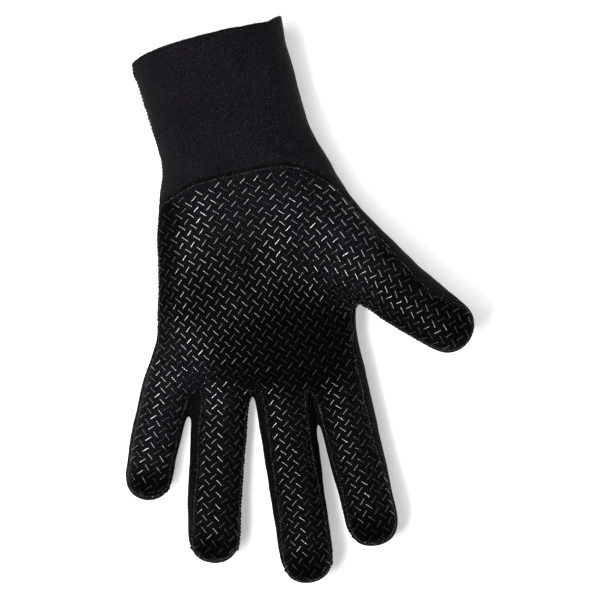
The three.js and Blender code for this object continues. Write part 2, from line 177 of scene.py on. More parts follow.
# A dash: how far along it each station lies and how full it is there, its section, as shares of
# its half width and its height, how deep its root sits, and the least and the most stretch of it
DASH_PROFILE = [
    (-1, 0.35), (-0.95, 0.8), (-0.88, 1), (-0.78, 1), (0.78, 1), (0.88, 1), (0.95, 0.8), (1, 0.35),
]
DASH_SECTION = [(1.05, 0), (0.9, 0.7), (0.5, 1), (-0.5, 1), (-0.9, 0.7), (-1.05, 0)]
DASH_ROOT = 0.08 * MM
DASH_STRETCH = (0.5, 1.6)

# A seam's ridge: the angles of its section, how full it is at each quarter of a stitch, how deep
# its foot sits, and how far inside the rim its tack lies, as a share of the tack's reach
RIDGE_ARC = [math.radians(angle) for angle in (0, 36, 72, 108, 144, 180)]
RIDGE_SWELL = [0.5, 1.0, 1.3, 1.0]
RIDGE_FOOT = 0.12 * MM
TACK_PLACE = 1.4
# A loop over the ridge: its stations as shares of its half length, its lean in degrees and how far
# that varies, how far it slips along and across, and its height above the ridge
LOOP_STATIONS = [-1, -0.75, -0.3, 0.3, 0.75, 1]
LOOP_LEAN = 35
LOOP_LEAN_SPREAD = 22
LOOP_SLIP = (0.12 * MM, 0.15 * MM)
LOOP_RISE = 0.03 * MM
# The cover thread: one stitch in so many is in its even row, at this share of the ridge's width
# and with this half length, and how deep the ends and how high the middle of any stitch lie
EVEN_EVERY = 3
EVEN_PLACE = 0.85
EVEN_HALF = 0.4 * MM
COVER_ROOT = 0.08 * MM
COVER_RISE = 0.16 * MM
# How far towards the cuff the wrist's seam begins, and how much of their reach its loops keep
WRIST_SEAM = 40 * MM
WRIST_REACH = 0.3

# What one operator makes and a later one uses
workshop = {}


def amount(name, default, description, **more):
    return bpy.props.FloatProperty(name=name, default=default, description=description, **more)


def length(name, default, description):
    return amount(name, default, description, unit="LENGTH", subtype="DISTANCE", precision=5)


def times(name, default, description):
    return bpy.props.IntProperty(name=name, default=default, description=description, min=0)


def colour(name, default, description):
    return bpy.props.FloatVectorProperty(
        name=name, default=default, description=description, subtype="COLOR", size=3, min=0, max=1,
    )


class GLOVE_PG_skin(bpy.types.PropertyGroup):
    """How the neoprene skin lies over the model."""

    grain: length("Grain", 0.9 * MM, "Size of the skin's smallest faces")
    closing: length("Closing", 0.26 * MM, "How far the panels swell to close their seam gaps")
    seam_pull: length("Seam pull", 0.38 * MM, "How deep the thread draws the neoprene in at a seam")
    seam_reach: length("Seam reach", 1.5 * MM, "How far from a seam it is drawn in")
    puff: length("Puff", 0.28 * MM, "How far the neoprene stands up beside a seam")
    ripple: length("Ripple", 0.42 * MM, "Height of the soft waves in the neoprene")
    ripple_size: length("Ripple size", 17 * MM, "Length of the soft waves")
    rounds: times("Relaxing rounds", 42, "How many times the skin is relaxed")
    soft_rounds: times("Softening rounds", 90, "How many times more the soft places are relaxed")


class GLOVE_PG_grip(bpy.types.PropertyGroup):
    """The raised rubber dashes of the gripping side."""

    dash_length: length("Dash length", 3.7 * MM, "Length of a dash")
    dash_width: length("Dash width", 0.66 * MM, "Width of a dash")
    dash_height: length("Dash height", 0.36 * MM, "Height of a dash above the fabric")
    cell_across: length("Cell across", 5.5 * MM, "Width of the pattern's cell on the flat cloth")
    cell_along: length("Cell along", 5.4 * MM, "Length of the pattern's cell on the flat cloth")
    seam_margin: length("Seam margin", 2.2 * MM, "How close to a seam a dash may come")
    slant: amount("Slant", math.radians(44), "Slant of the dashes", subtype="ANGLE")


class GLOVE_PG_seams(bpy.types.PropertyGroup):
    """The overlocked seams."""

    welt_width: length("Welt width", 1.5 * MM, "Width of the ridge under the thread")
    welt_height: length("Welt height", 0.6 * MM, "Height of the ridge under the thread")
    stitch_pitch: length("Stitch pitch", 1.7 * MM, "Distance from one stitch to the next")
    stitch_length: length("Stitch length", 2.1 * MM, "How far a stitch reaches across the seam")
    band_width: length("Band width", 3.2 * MM, "How far the cover thread reaches on the palm's side")
    band_pitch: length("Band pitch", 0.36 * MM, "Distance from one of its loops to the next")
    thread: length("Thread", 0.22 * MM, "Radius of the thread")
    tack_reach: length("Tack reach", 3.5 * MM, "Half the length of the thick tack near the rim")
    tack_bulk: amount("Tack bulk", 1.5, "How much thicker the seam is there", min=0)


class GLOVE_PG_colours(bpy.types.PropertyGroup):
    """The glove's colours."""

    # The strips' jersey is darker than the back's: painted shade on the sides of the fingers.
    strips: colour("Strips", (0.0016, 0.0015, 0.0018), "Smooth jersey between the fingers")
    neoprene: colour("Neoprene", (0.0042, 0.0035, 0.0046), "Smooth jersey of the back and the cuff")
    ground: colour("Grip ground", (0.00078, 0.00074, 0.00100), "Fabric between the dashes")
    rubber: colour("Grip rubber", (0.0022, 0.0022, 0.0026), "Rubber of the dashes")
    thread: colour("Thread", (0.020, 0.019, 0.021), "Thread of the seams")
    core: colour("Core", (0.006, 0.006, 0.0065), "Foam at the cut edge of the cuff")
    lining: colour("Lining", (0.006, 0.006, 0.007), "Jersey on the inside")
    floor: colour("Floor", (0.90, 0.90, 0.90), "The surface that the glove lies on")


class GLOVE_PG_stage(bpy.types.PropertyGroup):
    """The camera and the light."""

    view_width: length("View width", 282 * MM, "What the picture is wide at the glove")
    view_height: length("View height", 20 * MM, "Height at which the view width is taken")
    aim_x: length("Aim X", 0.24 * MM, "Where the camera points, across")
    aim_y: length("Aim Y", -0.7 * MM, "Where the camera points, along")
    lens: amount("Lens", 300, "Focal length in millimetres")
    sky: amount("Sky", 0.05, "Strength of the light all round")
    key: amount("Key", 16, "Power of the main lamp, in watts")


SETTINGS = {
    "glove_skin": GLOVE_PG_skin,
    "glove_grip": GLOVE_PG_grip,
    "glove_seams": GLOVE_PG_seams,
    "glove_colours": GLOVE_PG_colours,
    "glove_stage": GLOVE_PG_stage,
}


class Wire:
    """A socket that takes Python's arithmetic, where every sum or product adds its Math node."""

    def __init__(self, finish, socket):
        self.finish = finish
        self.socket = socket

    def __add__(self, other):
        return self.finish.maths("ADD", self, other)

    def __sub__(self, other):
        return self.finish.maths("SUBTRACT", self, other)

    def __rsub__(self, other):
        return self.finish.maths("SUBTRACT", other, self)

    def __mul__(self, other):
        return self.finish.maths("MULTIPLY", self, other)

    __radd__ = __add__
    __rmul__ = __mul__


class Finish:
    """One material and the nodes that it is worked out with. Scales are in waves a metre."""

    def __init__(self, name):
        self.material = bpy.data.materials.new(name)
        self.material.use_nodes = True
        self.tree = self.material.node_tree
        self.tree.nodes.clear()
        self.place = self.add("ShaderNodeTexCoord", {}, {}, "Object")

    def add(self, kind, settings, inputs, output=0):
        """Any node: its settings are set first, then its sockets get their values or links."""
        node = self.tree.nodes.new(kind)
        for name, value in settings.items():
            setattr(node, name, value)
        for key, value in inputs.items():
            if isinstance(value, Wire):
                self.tree.links.new(value.socket, node.inputs[key])
            else:
                node.inputs[key].default_value = value
        return Wire(self, node.outputs[output])

    def maths(self, operation, first, second=0.0):
        return self.add("ShaderNodeMath", {"operation": operation}, {0: first, 1: second})

    def speckle(self, scale, detail=2, roughness=0.5):
        inputs = {"Vector": self.place, "Scale": scale, "Detail": detail, "Roughness": roughness}
        return self.add("ShaderNodeTexNoise", {}, inputs, "Fac")

    def salt(self, scale):
        """Mostly near 0, with small light grains here and there."""
        gain, sharpness = 1.35, 5
        return self.maths("POWER", self.speckle(scale, 1) * gain, sharpness)

    def ridges(self, direction, pitch, wobble):
        """Fine parallel lines across a direction, from 0 to 1, bent by a wobble."""
        inputs = {0: self.place, 1: direction}
        along = self.add("ShaderNodeVectorMath", {"operation": "DOT_PRODUCT"}, inputs, "Value")
        phase = along * (2 * math.pi / pitch) + wobble
        return self.maths("SINE", phase) * 0.5 + 0.5

    def tones(self, share, shade, dark, light):
        """From a darker to a lighter tone of a shade, as multiples of it."""
        inputs = {0: share, 6: (*lighter(shade, dark), 1), 7: (*lighter(shade, light), 1)}
        return self.add("ShaderNodeMix", {"data_type": "RGBA"}, inputs, 2)

    def bump(self, height, distance, strength=1.0):
        inputs = {"Height": height, "Distance": distance, "Strength": strength}
        return self.add("ShaderNodeBump", {}, inputs)

    def gloss_and_shade(self):
        """The share of the print's gloss that is left; the ground's painted sheen and shade follow
        it.
        """
        from_above = {0: self.place, 1: (1, 1, 0)}
        flat = self.add("ShaderNodeVectorMath", {"operation": "MULTIPLY"}, from_above, "Vector")
        core = 0.35
        total = 1.0
        for x, y, reach, left in DULL_AND_SHADED:
            inputs = {0: flat, 1: (x * MM, y * MM, 0)}
            away = self.add("ShaderNodeVectorMath", {"operation": "DISTANCE"}, inputs, "Value")
            span = {
                "Value": away,
                "From Min": core * reach * MM, "From Max": reach * MM,
                "To Min": left, "To Max": 1,
            }
            total = self.add("ShaderNodeMapRange", {"interpolation_type": "SMOOTHSTEP"}, span) * total
        return total

    def surface(self, sheet):
        shader = self.add("ShaderNodeBsdfPrincipled", {}, sheet)
        output = self.tree.nodes.new("ShaderNodeOutputMaterial")
        self.tree.links.new(shader.socket, output.inputs["Surface"])
        return self.material


def lighter(shade, gain):
    return tuple(min(1.0, part * gain) for part in shade)


def jersey_finish(name, shade, pitch):
    """Smooth nylon jersey on neoprene: fine slanting twill lines, a dry nap and faint mottling."""
    finish = Finish(name)
    mottle = finish.speckle(55, 3)
    nap = finish.speckle(1500, 2, 0.7)
    wobble = finish.speckle(160) * 3.2
    twill = finish.ridges((0.84, -0.54, 0.5), pitch, wobble)
    tint = finish.salt(1700) * 0.8 + twill * 0.2 + mottle * 0.2 + nap * 0.35 - 0.3
    sheet = {
        "Base Color": finish.tones(tint, shade, 0.1, 6),
        "Roughness": mottle * 0.12 + nap * 0.1 + 0.56,
        "Normal": finish.bump(twill * 0.7 + nap * 0.9, 0.3 * MM),
        "Specular IOR Level": 0.03,
    }
    return finish.surface(sheet)


def ground_finish(shade):
    """The gripping side between its dashes: a fine grainy knit with a dull rubber film."""
    finish = Finish("grip_ground")
    mottle = finish.speckle(70, 3)
    grain = finish.speckle(1500, 3, 0.65)
    wobble = finish.speckle(300) * 2.5
    ribs = finish.ridges((1, 0.2, 0.35), TWILL, wobble)
    knit = ribs * finish.ridges((-0.2, 1, 0.35), FINE_TWILL, wobble)
    gloss_and_shade = finish.gloss_and_shade()
    # Painted glints, sheen and shade: the light grains stand for glints, and the fabric is painted
    # lighter where the print keeps its gloss and darker where it is dull.
    speckled = finish.salt(1900) + grain * 0.3 + mottle * 0.1 - 0.2
    tint = speckled * (gloss_and_shade * gloss_and_shade * 1.3 + 0.25)
    sheet = {
        "Base Color": finish.tones(tint, shade, 0.1, 15),
        "Roughness": grain * 0.15 - gloss_and_shade * 0.5 + 0.85,
        "Normal": finish.bump(grain * 0.9 + knit * 0.5, 0.3 * MM),
        "Specular IOR Level": 0.022,
    }
    return finish.surface(sheet)


def rubber_finish(shade):
    """The printed rubber of the dashes, polished where it is handled."""
    finish = Finish("grip_rubber")
    worn = finish.speckle(60)
    grain = finish.speckle(2200)
    sheet = {
        "Base Color": finish.tones(worn, shade, 0.8, 1.5),
        "Roughness": grain * 0.1 + 0.5,
        "Normal": finish.bump(grain, 0.02 * MM, 0.5),
        "Specular IOR Level": 0.08,
        "Coat Weight": finish.gloss_and_shade() * (worn * 0.3 + 0.78),
        "Coat Roughness": 0.2,
        "Coat IOR": 2.0,
    }
    return finish.surface(sheet)


def thread_finish(name, shade, specular):
    """Twisted nylon thread with a little lustre."""
    finish = Finish(name)
    twist = finish.ridges((0.7, 0.6, 0.4), 0.32 * MM, finish.speckle(900, 1) * 2)
    lustre = finish.salt(750)
    # Painted glints: where the lustre is high the thread is glossier and also painted up to nine
    # times lighter.
    sheet = {
        "Base Color": finish.tones(lustre, shade, 0.15, 9),
        "Roughness": 0.6 - lustre * 0.4,
        "Normal": finish.bump(twist, 0.05 * MM, 0.7),
        "Specular IOR Level": specular,
    }
    return finish.surface(sheet)


def core_finish(shade):
    """The foam that shows at the cut edge of the cuff."""
    finish = Finish("foam_core")
    inputs = {"Vector": finish.place, "Scale": 2800}
    pores = finish.add("ShaderNodeTexVoronoi", {}, inputs, "Distance")
    sheet = {
        "Base Color": finish.tones(pores, shade, 0.6, 1.5),
        "Roughness": pores * 0.1 + 0.85,
        "Normal": finish.bump(pores, 0.12 * MM, 0.8),
        "Specular IOR Level": 0.15,
    }
    return finish.surface(sheet)


def floor_finish(shade):
    """A matt pale sheet, faintly lit from below."""
    finish = Finish("pale_floor")
    tone = finish.speckle(3)
    sheet = {
        "Base Color": finish.tones(tone, shade, 0.99, 1.01),
        "Roughness": tone * 0.05 + 0.85,
        "Specular IOR Level": 0.1,
        "Emission Color": (*shade, 1),
        "Emission Strength": 0.45,
    }
    return finish.surface(sheet)


def placed(name, data):
    """An object that shows the data, put in the scene."""
    thing = bpy.data.objects.new(name, data)
    bpy.context.scene.collection.objects.link(thing)
    return thing


def new_piece(name, points, faces, material, slot):
    """A mesh object from plain arrays, smooth shaded, riding on the glove's body."""
    mesh = bpy.data.meshes.new(name)
    mesh.from_pydata([tuple(p) for p in points], [], [tuple(f) for f in faces])
    mesh.polygons.foreach_set("use_smooth", [True] * len(mesh.polygons))
    mesh.materials.append(material)
    mesh.update()
    piece = placed(name, mesh)
    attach(piece, BODY)
    return piece


def smoothstep(values, low, high):
    share = np.clip((values - low) / (high - low), 0, 1)
    return share * share * (3 - 2 * share)


class Skin:
    """The fine skin: its points and faces, the panel of each face, and which points lie outside."""

    def __init__(self, sizes):
        self.grow(sizes)
        self.link()
        self.label()
        self.find_outside()
        self.relax(sizes)

    def grow(self, sizes):
        """Swells the panels until their seam gaps close, and grows one skin over them."""
        joined = bmesh.new()
        for node in PANELS:
            source = frame["nodes"][node]
            panel = bmesh.new()
            panel.from_mesh(source.data)
            panel.transform(source.matrix_world)
            bmesh.ops.remove_doubles(panel, verts=panel.verts, dist=0.001 * MM)
            panel.normal_update()
            for vert in panel.verts:
                vert.co += vert.normal * sizes.closing
            swollen = bpy.data.meshes.new("swollen")
            panel.to_mesh(swollen)
            joined.from_mesh(swollen)
            bpy.data.meshes.remove(swollen)
            panel.free()
        mesh = bpy.data.meshes.new("joined")
        joined.to_mesh(mesh)
        joined.free()
        form = placed("joined", mesh)
        modifier = form.modifiers.new("skin", "REMESH")
        modifier.mode = "VOXEL"
        modifier.voxel_size = sizes.grain
        grown = form.evaluated_get(bpy.context.evaluated_depsgraph_get()).to_mesh()
        self.points = np.empty(len(grown.vertices) * 3)
        grown.vertices.foreach_get("co", self.points)
        self.points = self.points.reshape(-1, 3)
        corners = np.empty(len(grown.loops), dtype=np.int64)
        grown.loops.foreach_get("vertex_index", corners)
        if len(corners) != 4 * len(grown.polygons):
            raise RuntimeError("the skin isn't made of four-sided faces alone")
        self.faces = corners.reshape(-1, 4)
        bpy.data.objects.remove(form)
        bpy.data.meshes.remove(mesh)

    def link(self):
        """Lists the skin's edges, each with the two faces that it parts."""
        count = len(self.points)
        ends = np.stack([self.faces, np.roll(self.faces, -1, axis=1)], axis=2).reshape(-1, 2)
        ends.sort(axis=1)
        keys = ends[:, 0] * count + ends[:, 1]
        order = np.argsort(keys, kind="stable")
        twice = np.flatnonzero(keys[order][1:] == keys[order][:-1])
        self.edges = ends[order[twice]]
        self.edge_faces = np.stack([order[twice] // 4, order[twice + 1] // 4], axis=1)
        self.degree = np.bincount(self.edges.ravel(), minlength=count).clip(1)

    def label(self):
        """Gives each face the panel of the model that it lies on, with no stray single faces."""
        points, triangles, owners = [], [], []
        for number, node in enumerate(PANELS):
            source = frame["nodes"][node]
            start = len(points)
            points += [source.matrix_world @ vert.co for vert in source.data.vertices]
            source.data.calc_loop_triangles()
            for triangle in source.data.loop_triangles:
                triangles.append([start + corner for corner in triangle.vertices])
                owners.append(number)
        model = BVHTree.FromPolygons(points, triangles)
        middles = self.points[self.faces].mean(axis=1)
        self.panel = np.array([owners[model.find_nearest(middle)[2]] for middle in middles])
        for _ in range(4):
            votes = np.zeros((len(self.faces), len(PANELS)), dtype=int)
            for side, other in ((0, 1), (1, 0)):
                np.add.at(votes, (self.edge_faces[:, side], self.panel[self.edge_faces[:, other]]), 1)
            self.panel = np.where(votes.max(axis=1) >= 3, votes.argmax(axis=1), self.panel)

    def normals(self):
        corners = self.points[self.faces]
        faces = np.cross(corners[:, 2] - corners[:, 0], corners[:, 3] - corners[:, 1])
        total = np.zeros_like(self.points)
        for corner in range(4):
            for axis in range(3):
                total[:, axis] += np.bincount(self.faces[:, corner], faces[:, axis], len(self.points))
        return total / np.linalg.norm(total, axis=1, keepdims=True).clip(1e-12)

    def find_outside(self):
        """Floods the outer side from the thumb's tip. The rim of the cuff stops the flood."""
        past_mouth = (self.points - MOUTH_CENTRE) @ MOUTH_AXIS
        self.rim = (self.normals() @ MOUTH_AXIS > RIM_FACING) & (past_mouth > -RIM_DEPTH)
        both_ways = np.concatenate([self.edges, self.edges[:, ::-1]])
        both_ways = both_ways[np.argsort(both_ways[:, 0], kind="stable")]
        first = np.searchsorted(both_ways[:, 0], np.arange(len(self.points) + 1))
        self.outside = np.zeros(len(self.points), dtype=bool)
        front = [int(self.points[:, 0].argmax())]
        while len(front):
            self.outside[front] = True
            near = np.unique(np.concatenate([both_ways[first[v]:first[v + 1], 1] for v in front]))
            front = near[~self.outside[near] & ~self.rim[near]]
        if self.outside.mean() > 0.8:
            raise RuntimeError("the rim of the cuff doesn't part the outside from the inside")

    def averaged(self, values, rounds, share):
        """Moves each point's values towards its neighbours' mean, round after round."""
        first, second = self.edges.T
        for _ in range(rounds):
            total = np.empty_like(values)
            for axis in range(3):
                total[:, axis] = np.bincount(first, values[second, axis], len(values))
                total[:, axis] += np.bincount(second, values[first, axis], len(values))
            values = values + share[:, None] * (total / self.degree[:, None] - values)
        return values

    def relax(self, sizes):
        """Smooths the facets away, gives back what that shrank, and takes back the swelling."""
        from_mouth = np.abs((self.points - MOUTH_CENTRE) @ MOUTH_AXIS)
        share = RELAX_SHARE * smoothstep(from_mouth, *RELAX_REACH)
        smooth = self.averaged(self.points, sizes.rounds, share)
        self.points = smooth + self.averaged(self.points - smooth, sizes.rounds, share)
        self.points = self.averaged(self.points, LAST_ROUNDS, np.full(len(share), 0.5))
        soft = np.zeros(len(share))
        for x, y, reach in SOFT:
            away = np.linalg.norm(self.points[:, :2] / MM - (x, y), axis=1)
            soft = np.maximum(soft, 1 - smoothstep(away, 0.4 * reach, reach))
        self.points = self.averaged(self.points, sizes.soft_rounds, RELAX_SHARE * soft)
        self.points -= self.normals() * sizes.closing * SWELLING_BACK

    def seam_paths(self):
        """The lines on the outside along which two panels meet, each as a list of point numbers."""
        sides = self.panel[self.edge_faces]
        parts = (sides[:, 0] != sides[:, 1]) & self.outside[self.edges].all(axis=1)
        near = {}
        for a, b in self.edges[parts].tolist():
            near.setdefault(a, set()).add(b)
            near.setdefault(b, set()).add(a)
        paths, used = [], set()
        ends = [point for point, others in near.items() if len(others) != 2]
        for start in ends + list(near):
            for step in near[start]:
                if (start, step) in used:
                    continue
                path = [start, step]
                while len(near[path[-1]]) == 2 and path[-1] != start:
                    path.append(next(point for point in near[path[-1]] if point != path[-2]))
                used.update(zip(path, path[1:]))
                used.update(zip(path[1:], path))
                paths.append(path)
        return paths


def eased(line, rounds, closed):
    """A line with its small steps worn away, its ends held."""
    line = line.copy()
    for _ in range(rounds):
        middle = (np.roll(line, 1, axis=0) + np.roll(line, -1, axis=0)) / 2
        if not closed:
            middle[0], middle[-1] = line[0], line[-1]
        line += 0.5 * (middle - line)
    return line


def spaced(line, step):
    """The line again, with its points a step apart."""
    runs = np.concatenate([[0], np.cumsum(np.linalg.norm(np.diff(line, axis=0), axis=1))])
    count = max(int(round(runs[-1] / step)), 2)
    places = np.linspace(0, runs[-1], count + 1)
    return np.stack([np.interp(places, runs, line[:, axis]) for axis in range(3)], axis=1)


def tree_of(points):
    tree = KDTree(len(points))
    for number, point in enumerate(points):
        tree.insert(point, number)
    tree.balance()
    return tree


def cuff_side_line(skin, seam_points):
    """The cuff's own side seam, from the palm's edge at the wrist to the rim."""
    outer = skin.points[skin.outside]
    along = (outer - MOUTH_CENTRE) @ MOUTH_AXIS
    start = seam_points[(seam_points[:, 0] - seam_points[:, 1]).argmin()]
    start_along = float((start - MOUTH_CENTRE) @ MOUTH_AXIS)
    line = [start]
    heights = [start[2], MOUTH_CENTRE[2]]
    for place in np.arange(start_along + SIDE_STEP, 0, SIDE_STEP):
        height = np.interp(place, [start_along, start_along / 2], heights)
        band = outer[(np.abs(along - place) < SIDE_ALONG) & (np.abs(outer[:, 2] - height) < SIDE_UP)]
        if len(band):
            line.append(band[band[:, 0].argmin()])
    return np.array(line)


class GLOVE_OT_skin(bpy.types.Operator):
    """Grow the neoprene skin and part it into the glove's five panels"""

    bl_idname = "glove.skin"
    bl_label = "Neoprene panels"

    def execute(self, context):
        sizes = context.scene.glove_skin
        colours = context.scene.glove_colours
        skin = Skin(sizes)
        self.ripple(skin, sizes)
        self.draw_in(skin, sizes)
        lining = jersey_finish("lining_jersey", colours.lining, FINE_TWILL)
        core = core_finish(colours.core)
        jersey = jersey_finish("smooth_jersey", colours.neoprene, TWILL)
        ground = ground_finish(colours.ground)
        # The strips' darker jersey is painted shade between the fingers.
        strip = jersey_finish("shaded_strip_jersey", colours.strips, TWILL)
        for number, node in enumerate(PANELS):
            material = {PALM: ground, BACK: jersey}.get(node, strip)
            self.part(skin, number, node, [material, lining, core])
        workshop["skin"] = skin
        return {"FINISHED"}

    def ripple(self, skin, sizes):
        """Soft waves, as in neoprene that has been worn and laid down."""
        normals = skin.normals()
        finer = 2.3
        waves = np.array([
            noise.noise(Vector(point) / sizes.ripple_size)
            + 0.5 * noise.noise(Vector(point) * finer / sizes.ripple_size)
            for point in skin.points
        ])
        free = smoothstep(skin.points[:, 2], 0.5 * MM, 4 * MM)
        skin.points += normals * (waves * free * sizes.ripple)[:, None]
        skin.points[:, 2] = np.maximum(skin.points[:, 2], 0)

    def draw_in(self, skin, sizes):
        """Finds the seams, straightens the panels' edges on them and pulls the skin in there."""
        lines = []
        on_seam = set()
        for path in skin.seam_paths():
            closed = path[0] == path[-1]
            line = skin.points[path[:-1] if closed else path]
            if len(line) < FEWEST_POINTS:
                continue
            on_seam.update(path)
            line = eased(line, EASING_ROUNDS, closed)
            lines.append(np.vstack([line, line[:1]]) if closed else line)
        side = cuff_side_line(skin, np.vstack(lines))
        lines.append(eased(side, CUFF_EASING_ROUNDS, False))
        lines = [spaced(line, SEAM_STEP) for line in lines]
        samples = np.vstack(lines)
        tree = tree_of(samples)
        for point in on_seam:
            skin.points[point] = tree.find(skin.points[point])[0]
        normals = skin.normals()
        outer = np.flatnonzero(skin.outside)
        from_seam = np.array([tree.find(skin.points[point])[2] for point in outer])
        pull = sizes.seam_pull * np.exp(-((from_seam / sizes.seam_reach) ** 2))
        from_puff = (from_seam - PUFF_PLACE * sizes.seam_reach) / (PUFF_WIDTH * sizes.seam_reach)
        puff = sizes.puff * np.exp(-(from_puff ** 2))
        skin.points[outer] += normals[outer] * (puff - pull)[:, None]
        skin.points[:, 2] = np.maximum(skin.points[:, 2], 0)
        workshop["from_seam"] = np.full(len(skin.points), 1.0)
        workshop["from_seam"][outer] = from_seam
        workshop["seams"] = lines

    def part(self, skin, number, node, materials):
        """One panel's share of the skin, with its lining and the cut edge of the cuff."""
        mine = skin.faces[skin.panel == number]
        used, places = np.unique(mine, return_inverse=True)
        faces = places.reshape(-1, 4)
        piece = new_piece(f"{node}_skin", skin.points[used], faces, materials[0], SLOTS[node])
        for material in materials[1:]:
            piece.data.materials.append(material)
        outside = skin.outside[mine].any(axis=1)
        rim = skin.rim[mine].all(axis=1)
        slots = np.where(rim, 2, np.where(outside, 0, 1))
        piece.data.polygons.foreach_set("material_index", slots.tolist())
        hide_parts(node)


class Cloth:
    """The printed cloth of the gripping panel, laid on the skin with as little stretch as it can."""

    def __init__(self, skin, grip):
        printed = (skin.panel == PANELS.index(PALM)) & skin.outside[skin.faces].all(axis=1)
        self.used, places = np.unique(skin.faces[printed], return_inverse=True)
        quads = places.reshape(-1, 4)
        self.points = skin.points[self.used]
        self.normals = skin.normals()[self.used]
        self.from_seam = workshop["from_seam"][self.used]
        self.triangles = np.concatenate([quads[:, [0, 1, 2]], quads[:, [0, 2, 3]]])
        ends = np.concatenate([quads[:, pair] for pair in ([0, 1], [1, 2], [2, 3], [3, 0])])
        self.flat = self.lay(ends, *self.lie(grip))
        from_above = tree_of(self.points * (1, 1, 0))
        first_dash = (*np.array(FIRST_DASH) * MM, 0)
        self.flat -= self.flat[from_above.find(first_dash)[1]]
        corners = self.flat[self.triangles]
        flattened = np.concatenate([corners.reshape(-1, 2), np.zeros((corners.size // 2, 1))], axis=1)
        faces = np.arange(len(flattened)).reshape(-1, 3)
        self.sheet = BVHTree.FromPolygons(flattened.tolist(), faces.tolist())

    def lie(self, grip):
        """The ways across and along the pattern at each point, as long as the cloth's stretch."""
        table = np.array(CLOTH)
        away = np.linalg.norm(self.points[:, None, :2] / MM - table[None, :, :2], axis=2)
        weights = 1 / (away ** 2 + CLOTH_EVENNESS) ** 2
        turn, across, along = (weights @ table[:, 2:] / weights.sum(axis=1, keepdims=True)).T
        turn = np.radians(turn)
        rows = np.stack([np.cos(turn), np.sin(turn), np.zeros(len(turn))], axis=1)
        rows -= self.normals * (rows * self.normals).sum(axis=1, keepdims=True)
        rows /= np.linalg.norm(rows, axis=1, keepdims=True)
        columns = np.cross(self.normals, rows)
        rows *= (grip.cell_across / across / MM)[:, None]
        columns *= (grip.cell_along / along / MM)[:, None]
        return rows, columns

    def lay(self, ends, *directions):
        """Finds the flat place of each point whose steps from its neighbours fit the lie best."""
        first, second = ends.T
        count = len(self.points)
        degree = np.bincount(ends.ravel(), minlength=count)
        steps = self.points[second] - self.points[first]

        def pulled(values):
            difference = values[second] - values[first]
            return np.bincount(second, difference, count) - np.bincount(first, difference, count)

        flat = []
        for direction in directions:
            wanted = (steps * (direction[first] + direction[second]) / 2).sum(axis=1)
            goal = np.bincount(second, wanted, count) - np.bincount(first, wanted, count)
            values = self.points @ direction.mean(axis=0)
            rest = goal - pulled(values)
            scaled = rest / degree
            move = scaled.copy()
            size = rest @ scaled
            for _ in range(LAYING_ROUNDS):
                pull = pulled(move)
                step = size / (move @ pull)
                values += step * move
                rest -= step * pull
                scaled = rest / degree
                size, before = rest @ scaled, size
                move = scaled + move * size / before
            flat.append(values)
        return np.stack(flat, axis=1)

    def lift(self, place):
        """The glove's point, its normal and how far the next seam is, of a place on the cloth."""
        found = self.sheet.find_nearest((place[0], place[1], 0.0), CLOTH_REACH)
        if found[0] is None:
            return None
        corners = self.triangles[found[2]]
        a, b, c = self.flat[corners]
        across, along, offset = b - a, c - a, np.array(found[0][:2]) - a
        area = across[0] * along[1] - across[1] * along[0]
        if abs(area) < 1e-12:
            return None
        second = (offset[0] * along[1] - offset[1] * along[0]) / area
        third = (across[0] * offset[1] - across[1] * offset[0]) / area
        shares = np.array([1 - second - third, second, third])
        wanted = (self.points, self.normals, self.from_seam)
        return tuple(shares @ values[corners] for values in wanted)


def either_way(most):
    return random.uniform(-most, most)


def rib_faces(stations, sides):
    """The faces of a rib with an open underside and two closed ends."""
    faces = [
        [station * sides + step, station * sides + step + 1,
         (station + 1) * sides + step + 1, (station + 1) * sides + step]
        for station in range(stations - 1) for step in range(sides - 1)
    ]
    faces.append(list(range(sides))[::-1])
    faces.append([(stations - 1) * sides + step for step in range(sides)])
    return faces


DASH_FACES = rib_faces(len(DASH_PROFILE), len(DASH_SECTION))


